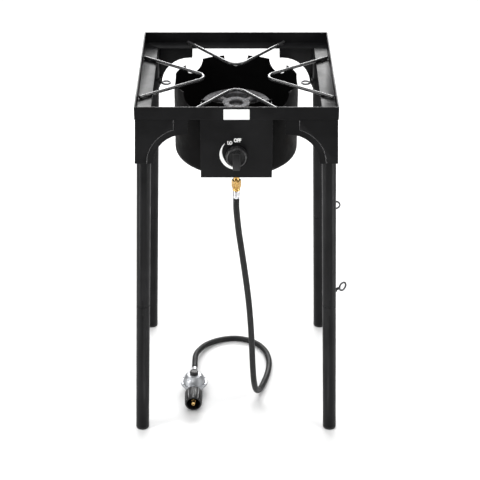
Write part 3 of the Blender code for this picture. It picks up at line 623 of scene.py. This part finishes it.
def make_upper_leg(name, turn):
    top, bottom = -0.0006, APRON_HEIGHT - SEAM_DEPTH
    wall = TUBE_RADIUS - TUBE_WALL
    profile = [(TUBE_RADIUS - 0.0003, top), (TUBE_RADIUS, top - 0.0003), (TUBE_RADIUS, bottom + 0.0005),
               (TUBE_RADIUS - 0.0005, bottom), (wall, bottom), (wall, top)]
    tube_wall = lathe(profile, 64)
    way = heading_in_corner(LEG_SCREW_HEADING[name], turn)
    level = Vector((0, 0, APRON_HEIGHT - LEG_SCREW_DEPTH))
    boss = lathe([(0, TUBE_RADIUS + 0.0042), (0.0048, TUBE_RADIUS + 0.0042), (0.0056, TUBE_RADIUS + 0.0036),
                  (0.0056, wall + 0.0005), (0, wall + 0.0005)], 6)
    leg = boolean(tube_wall, moved(boss, along(way, level)), "UNION")
    leg = boolean(leg, moved(tube(0.0033, wall - 0.002, TUBE_RADIUS + 0.008, 24), along(way, level)))
    front = heading_in_corner(270, turn)
    leg = boolean(leg, dimple(bottom + 0.018, front))
    stand_in(f"upper_leg_tube_{name}", moved(leg, corner_place(turn)), f"upper_leg_{name}")


def make_lower_leg(name, turn):
    floor = APRON_HEIGHT - STAND_HEIGHT
    seam = APRON_HEIGHT - SEAM_DEPTH - 0.0003
    neck_top = APRON_HEIGHT - NECK_TOP_DEPTH
    bottom = floor + FOOT_HEIGHT + 0.0003
    inner, neck_inner = TUBE_RADIUS - TUBE_WALL, NECK_RADIUS - TUBE_WALL
    profile = [(NECK_RADIUS - 0.0004, neck_top), (NECK_RADIUS, neck_top - 0.0006), (NECK_RADIUS, seam),
               (TUBE_RADIUS - 0.0006, seam), (TUBE_RADIUS, seam - 0.0006), (TUBE_RADIUS, bottom + 0.0003),
               (TUBE_RADIUS - 0.0003, bottom), (inner, bottom), (inner, seam - 0.004), (neck_inner, seam),
               (neck_inner, neck_top)]
    leg = boolean(lathe(profile, 64), dimple(seam - 0.018, heading_in_corner(270, turn)))
    stand_in(f"lower_leg_tube_{name}", moved(leg, corner_place(turn)), f"lower_leg_{name}")

    plug, rest = inner - 0.0003, floor + FOOT_HEIGHT
    profile = [(0, rest + 0.014), (plug - 0.002, rest + 0.014), (plug, rest + 0.011), (plug, rest),
               (TUBE_RADIUS - 0.0003, rest), (TUBE_RADIUS, rest - 0.0004), (TUBE_RADIUS, floor + 0.0020)]
    profile += list(arc((TUBE_RADIUS - 0.0020, floor + 0.0020), 0.0020, 0, -90, 5))[1:]
    profile += [(0.0095, floor), (0.0090, floor + 0.0008), (0, floor + 0.0008)]
    stand_in(f"moulded_foot_{name}", moved(lathe(profile, 48), corner_place(turn)), f"foot_cap_{name}")


def threaded(radius, low, high, pitch=0.0008, depth=0.00035, sides=24):
    """A fine screw as a bmesh along Z, with a ring for each turn of its thread."""
    profile, height = [], high
    profile.append((radius - depth, high))
    while height - pitch > low:
        profile += [(radius, height - pitch * 0.35), (radius, height - pitch * 0.55),
                    (radius - depth, height - pitch)]
        height -= pitch
    return lathe([(0, high)] + profile + [(radius - depth, low), (0, low)], sides)


def make_eye_screw(node, turn, depth, heading, start, shank, ring_roll):
    ring_radius, wire = 0.0090, 0.0021
    ring = lathe([(ring_radius + wire * math.cos(a), -wire * math.sin(a))
                  for a in (math.tau * i / 16 for i in range(16))], 48)
    moved(ring, Matrix.Translation((shank + ring_radius, 0, 0)))
    neck = lathe([(0, shank + 0.0008), (0.0024, shank + 0.0008), (0.0021, shank - 0.0014),
                  (0.0026, shank - 0.0030), (0, shank - 0.0030)], 24)
    lying = along((1, 0, 0), (0, 0, 0))
    screw = boolean(ring, moved(neck, lying), "UNION")
    screw = boolean(screw, moved(threaded(0.0030, 0.0, shank - 0.0026), lying), "UNION")
    lean = LEG_AXIS + SPLAY * (depth - APRON_HEIGHT)
    axis = Matrix.Rotation(math.radians(turn), 4, "Z") @ Vector((lean, lean, STAND_HEIGHT - depth))
    way = Vector((math.cos(math.radians(heading)), math.sin(math.radians(heading)), 0))
    place = CENTRE @ Matrix.Translation(axis + way * start) @ Matrix.Rotation(math.radians(heading), 4, "Z")
    place = place @ Matrix.Rotation(math.radians(ring_roll), 4, "X")
    stand_in(f"{node}_threaded", moved(screw, place), node, material=DARK_PLATE)


def make_legs():
    for name, turn in CORNERS:
        make_upper_leg(name, turn)
        make_lower_leg(name, turn)
        make_eye_screw(f"socket_eye_screw_{name}", turn, SOCKET_SCREW_DEPTH, SOCKET_SCREW_HEADING[name],
                       TUBE_RADIUS + 0.0003, 0.0063, 0)
        make_eye_screw(f"leg_eye_screw_{name}", turn, LEG_SCREW_DEPTH, LEG_SCREW_HEADING[name],
                       NECK_RADIUS + 0.0003, 0.0168, 90)


# ---------------------------------------------------------------- pot supports and welds
SUPPORT_HALF_SPREAD = 0.105
SUPPORT_APEX_RADIUS = 0.068
SUPPORT_BEND = 0.022
SUPPORT_END = FRAME_HALF - 0.0052


def wire_curve(name, runs, radius, body, material, resolution=5):
    """One curve object through several runs of (point, relative thickness) pairs."""
    curve = bpy.data.curves.new(name, "CURVE")
    curve.dimensions = "3D"
    curve.bevel_depth = radius
    curve.bevel_resolution = resolution
    curve.use_fill_caps = True
    for run in runs:
        spline = curve.splines.new("POLY")
        spline.points.add(len(run) - 1)
        spline.use_smooth = True
        for point, (place, thickness) in zip(spline.points, run):
            point.co = (*place, 1)
            point.radius = thickness
    curve.materials.append(material)
    obj = bpy.data.objects.new(name, curve)
    bpy.context.scene.collection.objects.link(obj)
    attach(obj, body)
    return obj


def side_place(index):
    """From the left side's frame to another side's: left 0, front 1, right 2, back 3."""
    return CENTRE @ Matrix.Rotation(math.radians(90 * index), 4, "Z")


def weld_run(start, end, height_step=0.0011):
    """Points along a weld bead, whose thickness ripples."""
    start, end = Vector(start), Vector(end)
    count = max(4, round((end - start).length / height_step))
    run = []
    for i in range(count + 1):
        fade = min(1.0, (i + 0.6) / 2.2, (count - i + 0.6) / 2.2)
        run.append((start.lerp(end, i / count), fade * (1.0 if i % 2 else 0.80)))
    return run


def make_pot_supports():
    centre = SUPPORT_APEX_RADIUS + SUPPORT_BEND
    reach = SUPPORT_END - centre
    slope = math.acos(SUPPORT_BEND / math.hypot(reach, SUPPORT_HALF_SPREAD))
    slope -= math.atan2(reach, SUPPORT_HALF_SPREAD)
    bend = list(arc((-centre, 0), SUPPORT_BEND, -90 + math.degrees(slope), 90 - math.degrees(slope), 18))
    path = [(-SUPPORT_END, -SUPPORT_HALF_SPREAD)] + bend + [(-SUPPORT_END, SUPPORT_HALF_SPREAD)]
    away = Vector((math.cos(slope), math.sin(slope), 0))
    for index, side in enumerate(("left", "front", "right", "back")):
        place = side_place(index)
        points = [place @ Vector((x, y, ROD_HEIGHT)) for x, y in path]
        rod = wire_curve(f"pot_support_wire_{side}", [[(p, 1.0) for p in points]], ROD_RADIUS, "stand",
                         MATERIALS["rod_enamel"])
        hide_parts(f"pot_support_{side}")
        beads = []
        for mirror in (1, -1):
            inward = Vector((away.x, -away.y * mirror, 0))
            across = Vector((inward.y, -inward.x, 0))
            end = Vector((-SUPPORT_END, SUPPORT_HALF_SPREAD * mirror, FLANGE_TOP + 0.0006))
            for edge in (1, -1):
                start = end + inward * 0.003 + across * edge * 0.0030
                beads.append([(place @ p, t) for p, t in weld_run(start, start + inward * 0.016)])
        weld = wire_curve(f"support_weld_{side}", beads, 0.0019, "stand", WELD, 3)


def make_frame_welds():
    """Beads under the flange where the brackets' arms and the control box meet the frame."""
    beads = []
    height = STAND_HEIGHT - APRON_HEIGHT - 0.0004
    inside = LEG_AXIS + TUBE_RADIUS + 0.0001
    for index in range(4):
        place = side_place(index)
        for end in (1, -1):
            for middle in (0.113, 0.150):
                start = Vector((-inside, end * (middle - 0.010), height))
                finish_point = Vector((-inside, end * (middle + 0.010), height))
                beads.append([(place @ p, t) for p, t in weld_run(start, finish_point)])
    for x in (-0.045, 0.045):
        start = Vector((x - 0.009, -PANEL_FACE + 0.0018, height))
        beads.append([(CENTRE @ p, t) for p, t in weld_run(start, start + Vector((0.018, 0, 0)))])
    weld = wire_curve("frame_welds", beads, 0.0015, "stand", WELD, 3)


def make_pressed_lips():
    """The soft lip round the pressed panel on both arms of each leg bracket."""
    outer_face = TUBE_RADIUS + 0.0004 + SHEET
    arch, step, panel_start, inner_edge, arm_height = 0.060, 0.013, 0.0745, 0.0198, 0.032
    arch_centre = (-inner_edge - arch, -arm_height - arch)
    top, foot = -0.0015, -0.0945
    reach, start = arch + step, outer_face - panel_start
    angle = math.degrees(math.acos((start - arch_centre[0]) / reach))
    path = [(start, top)] + list(arc(arch_centre, reach, angle, 6, 24)) + [(arch_centre[0] + reach, foot)]
    for name, turn in CORNERS:
        place = corner_place(turn)
        runs = []
        for swapped in (False, True):
            points = [(outer_face, x, z) if swapped else (x, outer_face, z) for x, z in path]
            runs.append([(place @ Vector(point), 1.0) for point in points])
        lip = wire_curve(f"pressed_lip_{name}", runs, 0.0010, "stand", MATERIALS["rod_enamel"], 3)


# ---------------------------------------------------------------- wind guard
def make_wind_guard():
    corner_radius = 0.018
    straight_end = STAND_HEIGHT - 0.175
    corner = (GUARD_RADIUS - corner_radius, straight_end)
    wall, inner_corner, air_hole = GUARD_RADIUS - SHEET, corner_radius - SHEET, 0.045
    profile = [(GUARD_RADIUS, GUARD_RIM)]
    profile += list(arc(corner, corner_radius, 0, -90, 8))
    profile += [(air_hole, straight_end - corner_radius), (air_hole, straight_end - inner_corner)]
    profile += list(arc(corner, inner_corner, -90, 0, 8))
    profile.append((wall, GUARD_RIM))
    guard = lathe(profile, 128)
    reach = GUARD_RADIUS + 0.01
    for i in range(4):
        angle = math.tau * i / 8
        notch = moved(tube(0.0255, -reach, reach, 48),
                      along((math.cos(angle), math.sin(angle), 0), (0, 0, GUARD_RIM)))
        guard = boolean(guard, notch)
    port = moved(tube(0.0135, -reach, -GUARD_RADIUS + 0.02, 32), along((0, 1, 0), (0, 0, VALVE_HEIGHT)))
    guard = boolean(guard, port)
    bevelled(stand_in("notched_wind_guard", moved(guard, CENTRE), "wind_guard"), 0.0004)


# ---------------------------------------------------------------- burner
OUTER_RING = (0.073, 0.052)
INNER_RING = (0.030, 0.014)


def rounded_ring(outer, inner, edge):
    """A cast ring with a rounded top."""
    profile = [((outer + inner) / 2, BURNER_TOP)]
    profile += list(arc((outer - edge, BURNER_TOP - edge), edge, 90, 0, 5))
    profile += [(outer, BURNER_BOTTOM + 0.0006), (outer - 0.0006, BURNER_BOTTOM),
                (inner + 0.0006, BURNER_BOTTOM), (inner, BURNER_BOTTOM + 0.0006)]
    profile += list(arc((inner + edge, BURNER_TOP - edge), edge, 180, 90, 5))
    return lathe(profile, 120)


def ports(radius, count, hole, offset=0.0):
    """A circle of drilled gas ports, as pins that cut 5 mm deep."""
    pins = []
    for i in range(count):
        angle = math.tau * (i + offset) / count
        place = Matrix.Translation((radius * math.cos(angle), radius * math.sin(angle), 0))
        pins.append(moved(tube(hole, BURNER_TOP - 0.005, BURNER_TOP + 0.002, 10), place))
    return gathered(pins)


def make_burner():
    rings = gathered([rounded_ring(*OUTER_RING, 0.0040), rounded_ring(*INNER_RING, 0.0030),
                      tube(0.0135, BURNER_BOTTOM + 0.0003, BURNER_BOTTOM + 0.005, 48)])
    spokes = []
    for i in range(4):
        across = [(-0.007, BURNER_BOTTOM + 0.0005), (0.007, BURNER_BOTTOM + 0.0005),
                  (0.007, BURNER_TOP - 0.006)]
        across += list(arc((0, BURNER_TOP - 0.0085), 0.0074, 20, 160, 8))
        across.append((-0.007, BURNER_TOP - 0.006))
        across = [(x, min(y, BURNER_TOP - 0.0026)) for x, y in across]
        bar = prism(across, INNER_RING[0] - 0.003, OUTER_RING[1] + 0.004)
        lay = Matrix(((0, 0, 1, 0), (1, 0, 0, 0), (0, 1, 0, 0), (0, 0, 0, 1)))
        spokes.append(moved(bar, Matrix.Rotation(math.radians(45 + 90 * i), 4, "Z") @ lay))
    floor_disc = tube(0.0205, BURNER_BOTTOM + 0.0003, BURNER_BOTTOM + 0.005, 48)
    spokes.append(floor_disc)
    head = boolean(rings, gathered(spokes), "UNION")
    for radius, count, hole, offset in ((0.0675, 56, 0.0011, 0.0), (0.0578, 48, 0.0011, 0.5),
                                        (0.0250, 24, 0.0010, 0.0), (0.0185, 16, 0.0010, 0.5)):
        head = boolean(head, ports(radius, count, hole, offset))
    stand_in("drilled_ring_burner", moved(head, CENTRE), "burner_head")


# ---------------------------------------------------------------- control panel
def make_knob():
    radius, back, skirt_front, grip_front = 0.0215, 0.0035, 0.018, 0.037
    ribs = 40
    skirt = lathe([(0, skirt_front), (0.0165, skirt_front), (0.0172, skirt_front + 0.0004),
                   (0.0190, skirt_front - 0.0004), (radius - 0.0008, skirt_front - 0.0020),
                   (radius, skirt_front - 0.0045), (radius, back + 0.0008), (radius - 0.0006, back),
                   (0.0032, back), (0.0032, back + 0.0088), (0, back + 0.0088)], ribs * 4)
    for vert in skirt.verts:
        reach = math.hypot(vert.co.x, vert.co.y)
        if reach > 0.0203:
            ripple = 0.5 - 0.5 * math.cos(ribs * math.atan2(vert.co.y, vert.co.x))
            shrink = 1 - 0.018 * ripple
            vert.co.x *= shrink
            vert.co.y *= shrink
    root, tip, shoulder, half_length = skirt_front - 0.002, 0.0205, 0.0100, 0.0185
    root_half_width, front_half_width = 0.0078, 0.0070
    corners = [(0, tip, root)]
    for side in (-1, 1):
        corners += [(side * root_half_width, -half_length, root), (side * root_half_width, shoulder, root),
                    (side * front_half_width, 0.001 - half_length, grip_front),
                    (side * front_half_width, half_length, grip_front)]
    grip = bmesh.new()
    for corner in corners:
        grip.verts.new(corner)
    bmesh.ops.convex_hull(grip, input=grip.verts)
    bmesh.ops.dissolve_limit(grip, angle_limit=0.01, verts=grip.verts, edges=grip.edges)
    bmesh.ops.bevel(grip, geom=list(grip.edges), offset=0.0006, segments=3, affect="EDGES", profile=0.5)
    knob = boolean(skirt, grip, "UNION")
    stand_in("ribbed_control_knob", moved(knob, VALVE), "control_knob", angle=30)


def printed_text(name, words, size, place_x, place_y):
    font = bpy.data.curves.new(name, "FONT")
    font.body = words
    font.size = size
    font.align_x = "CENTER"
    font.align_y = "CENTER"
    font.extrude = 0.00008
    font.offset = size * 0.05
    obj = bpy.data.objects.new(name, font)
    bpy.context.scene.collection.objects.link(obj)
    font.materials.append(WHITE_PRINT)
    narrow = Matrix.Diagonal((0.75, 1, 1, 1))
    obj.matrix_world = VALVE @ Matrix.Translation((place_x, place_y, 0.0001)) @ narrow
    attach(obj, "stand")


def make_dial_print():
    """The generic dial marks: OFF at the top, LO beside it, and a crescent that widens as the gas opens."""
    printed_text("print_off", "OFF", 0.0108, 0.0020, 0.0305)
    printed_text("print_low", "LO", 0.0100, -0.0130, 0.0250)
    outer, steps = 0.0335, 40
    rim, inner = [], []
    for i in range(steps + 1):
        share = i / steps
        angle = math.radians(134 + 124 * share)
        thickness = 0.0008 + 0.0062 * math.sin(min(share / 0.62, 1) * math.pi / 2) ** 1.3
        if share > 0.62:
            thickness -= 0.0022 * (share - 0.62) / 0.38
        rim.append((outer * math.cos(angle), outer * math.sin(angle)))
        inner.append(((outer - thickness) * math.cos(angle), (outer - thickness) * math.sin(angle)))
    crescent = prism(rim + inner[::-1], 0.00002, 0.00018)
    piece("print_crescent", as_mesh("print_crescent", moved(crescent, VALVE)), "stand", WHITE_PRINT)


def make_label():
    """A blank white label with rounded corners on the front of the frame."""
    half_width, half_height, corner = 0.0255, 0.0110, 0.0010
    outline = []
    for x, y, start in ((1, 1, 0), (-1, 1, 90), (-1, -1, 180), (1, -1, 270)):
        centre = (x * (half_width - corner), y * (half_height - corner))
        outline += list(arc(centre, corner, start, start + 90, 5))
    place = CENTRE @ Matrix.Translation((0, -FRAME_HALF, STAND_HEIGHT - 0.01555))
    label = moved(prism(outline, -0.0001, 0.0003), place @ Matrix.Rotation(math.pi / 2, 4, "X"))
    piece("blank_label_plate", as_mesh("blank_label_plate", label), "stand", BLANK_LABEL)


# ---------------------------------------------------------------- gas fittings
def make_fittings():
    fitting = lathe([(0, -0.1433), (0.0080, -0.1433), (0.0085, -0.1438), (0.0085, -0.1525),
                     (0.0080, -0.1532), (0.0060, -0.1545), (0.0060, -0.1600), (0.0056, -0.1606),
                     (0.0056, -0.1640), (0.0060, -0.1646), (0.0060, -0.1790), (0.0035, -0.1825),
                     (0, -0.1825)], 48)
    stand_in("turned_inlet_fitting", moved(fitting, INLET), "inlet_fitting")
    hexagon = lathe([(0, -0.1675), (0.0098, -0.1675), (0.0098, -0.1850), (0, -0.1850)], 6)
    envelope = lathe([(0, -0.1675), (0.0082, -0.1675), (0.0098, -0.1692), (0.0098, -0.1835),
                      (0.0084, -0.1850), (0, -0.1850)], 48)
    nut = boolean(hexagon, envelope, "INTERSECT")
    tail = lathe([(0, -0.1840), (0.0083, -0.1840), (0.0083, -0.1862), (0.0076, -0.1868), (0.0076, -0.1890),
                  (0.0080, -0.1896), (0.0078, -0.1914), (0.0072, -0.1920), (0, -0.1920)], 48)
    nut = boolean(nut, tail, "UNION")
    nut = boolean(nut, tube(0.0063, -0.1830, -0.160, 32))
    nut = moved(nut, INLET)
    return bevelled(stand_in("swivel_hex_nut", nut, "hose_swivel_nut"), 0.0002)


def make_regulator():
    """The regulator's two pressed halves with a clamped rim, its vent cap, and the hand nut and nipple."""
    middle = 0.0560
    lay = REGULATOR @ Matrix.Translation((0, 0, middle)) @ Matrix.Rotation(-math.pi / 2, 4, "X")
    body = lathe([(0, 0.0230), (0.0108, 0.0230), (0.0112, 0.0220), (0.0150, 0.0218), (0.0165, 0.0212),
                  (0.0205, 0.0170), (0.0232, 0.0120), (0.0246, 0.0060), (0.0250, 0.0036), (0.0256, 0.0028),
                  (0.0292, 0.0028), (0.0300, 0.0020), (0.0300, 0.0003), (0.0294, 0.0000), (0.0300, -0.0003),
                  (0.0300, -0.0020), (0.0292, -0.0028), (0.0254, -0.0028), (0.0248, -0.0040),
                  (0.0236, -0.0100), (0.0222, -0.0130), (0.0180, -0.0152), (0.0120, -0.0155),
                  (0, -0.0155)], 72)
    outlet = moved(lathe([(0, middle - 0.015), (0.0085, middle - 0.015), (0.0085, 0.0206), (0.0078, 0.0200),
                          (0.0085, 0.0194), (0.0085, 0.0182), (0.0079, 0.0176), (0, 0.0176)], 40),
                   lay.inverted() @ REGULATOR)
    inlet = moved(lathe([(0, 0.0950), (0.0083, 0.0950), (0.0090, 0.0943), (0.0090, middle + 0.015),
                         (0, middle + 0.015)], 40), lay.inverted() @ REGULATOR)
    body = boolean(body, gathered([outlet, inlet]), "UNION")
    heads = []
    for i in range(6):
        angle = math.tau * (i + 0.5) / 6
        spot = Matrix.Translation((0.0274 * math.cos(angle), 0.0274 * math.sin(angle), 0))
        head = lathe([(0, 0.0046), (0.0010, 0.0045), (0.0018, 0.0038), (0.0018, 0.0020), (0, 0.0020)], 20)
        heads.append(moved(head, spot))
    body = boolean(body, gathered(heads), "UNION")
    pressure_body = stand_in("clamped_regulator_body", moved(body, lay), "regulator_body")

    cap = lathe([(0, 0.0310), (0.0076, 0.0310), (0.0084, 0.0306), (0.0095, 0.0288), (0.0095, 0.0233),
                 (0, 0.0233)], 96)
    for vert in cap.verts:
        if math.hypot(vert.co.x, vert.co.y) > 0.0080 and vert.co.z < 0.0300:
            shrink = 1 - 0.05 * (0.5 - 0.5 * math.cos(24 * math.atan2(vert.co.y, vert.co.x)))
            vert.co.x *= shrink
            vert.co.y *= shrink
    cap = boolean(cap, moved(tube(0.0009, 0.0290, 0.0320, 16), Matrix.Translation((0.0040, 0, 0))))
    vent_cap = stand_in("vented_regulator_cap", moved(cap, lay), "regulator_cap")

    nipple = lathe([(0, 0.1420), (0.0030, 0.1420), (0.0046, 0.1400), (0.0055, 0.1372), (0.0055, 0.1345),
                    (0.0048, 0.1340), (0.0048, 0.1318), (0.0055, 0.1313), (0.0055, 0.1120), (0.0080, 0.1116),
                    (0.0085, 0.1108), (0.0085, 0.1055), (0.0060, 0.1050), (0.0060, 0.0953), (0, 0.0953)], 48)
    nipple = boolean(nipple, tube(0.0016, 0.1300, 0.1430, 20))
    nose = stand_in("turned_cylinder_nipple", moved(nipple, REGULATOR), "cylinder_nipple")

    grips = 12
    nut = lathe([(0.0155, 0.1400), (0.0168, 0.1400), (0.0180, 0.1388), (0.0190, 0.1370), (0.0200, 0.1180),
                 (0.0200, 0.1015), (0.0192, 0.0996), (0.0180, 0.0990), (0.0064, 0.0990), (0.0064, 0.1035),
                 (0.0150, 0.1045), (0.0150, 0.1395)], grips * 12)
    for vert in nut.verts:
        reach = math.hypot(vert.co.x, vert.co.y)
        if reach > 0.0165 and 0.1000 < vert.co.z < 0.1380:
            wave = math.cos(grips * math.atan2(vert.co.y, vert.co.x))
            shrink = 1 - 0.075 * max(0.0, wave) ** 0.7
            vert.co.x *= shrink
            vert.co.y *= shrink
    hand_nut = stand_in("fluted_hand_nut", moved(nut, REGULATOR), "cylinder_nut", angle=40)
    return pressure_body, vent_cap, nose, hand_nut


# ---------------------------------------------------------------- the whole stand
make_sheet_metal()
make_legs()
make_pot_supports()
make_frame_welds()
make_pressed_lips()
make_wind_guard()
make_burner()
make_knob()
make_dial_print()
make_label()
swivel_nut = make_fittings()
ferrule_top = stand_in("crimp_ferrule_top", moved(crimp((-0.1923, -0.2092)), INLET), "hose_ferrule_top")
ferrule_end = stand_in("crimp_ferrule_end", moved(crimp((0.0173, 0.0003)), REGULATOR), "hose_ferrule_end")
regulator_pieces = make_regulator()
hose, hose_exit, hose_length = make_hose()
